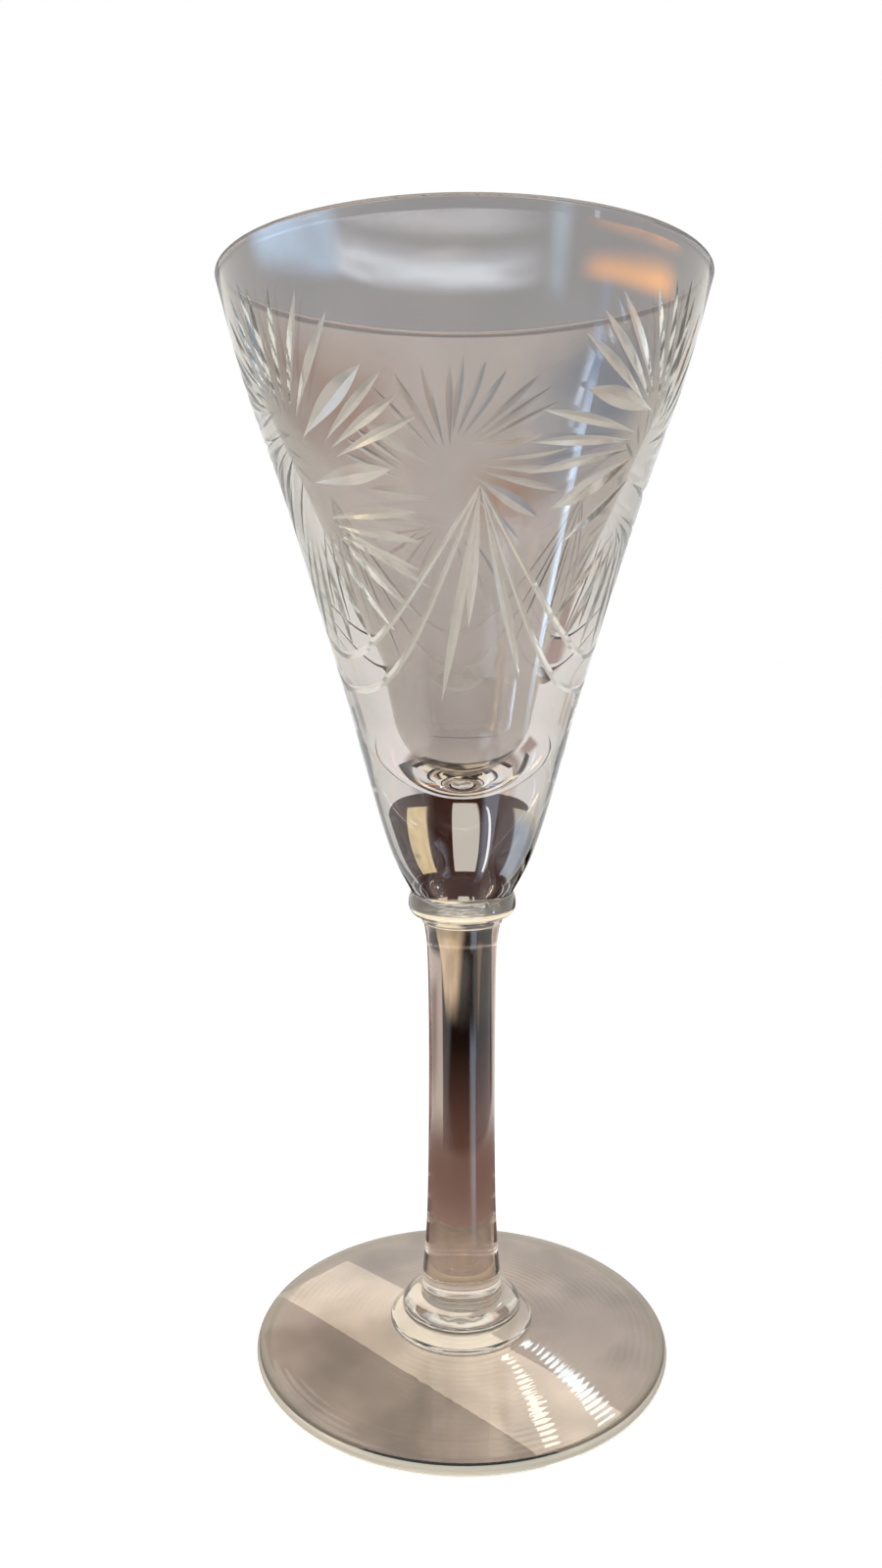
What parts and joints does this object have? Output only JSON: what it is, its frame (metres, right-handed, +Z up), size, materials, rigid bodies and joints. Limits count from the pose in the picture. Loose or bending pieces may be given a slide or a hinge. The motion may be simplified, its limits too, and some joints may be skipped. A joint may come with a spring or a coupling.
{
  "type": "stemmed glass goblet",
  "caption": "Stemmed goblet of clear cut glass: cone-shaped bowl with wheel-cut leaves and swags, collar, slim stem, knop and round foot.",
  "frame": {"origin": "centre of the foot's underside, on the plane that the goblet stands on", "axes": "+Z up along the goblet's axis, from the foot to the rim; -Y is the side seen in the picture, with one tassel of the pattern turned 4.8 degrees towards +X from it"},
  "size_m": [0.0782, 0.0782, 0.18],
  "materials": {
    "bowl_glass": "clear lead crystal, fire-polished, with wheel cuts in a satin finish",
    "collar_glass": "clear lead crystal, tooled hot and fire-polished",
    "stem_glass": "clear lead crystal, drawn hot",
    "knop_glass": "clear lead crystal, tooled hot",
    "foot_glass": "clear lead crystal, pressed flat hot and fire-polished"
  },
  "bodies": {
    "root": {"bowl": "bowl_glass", "collar": "collar_glass", "stem": "stem_glass", "foot_knop": "knop_glass", "foot": "foot_glass"}
  },
  "joints": []
}
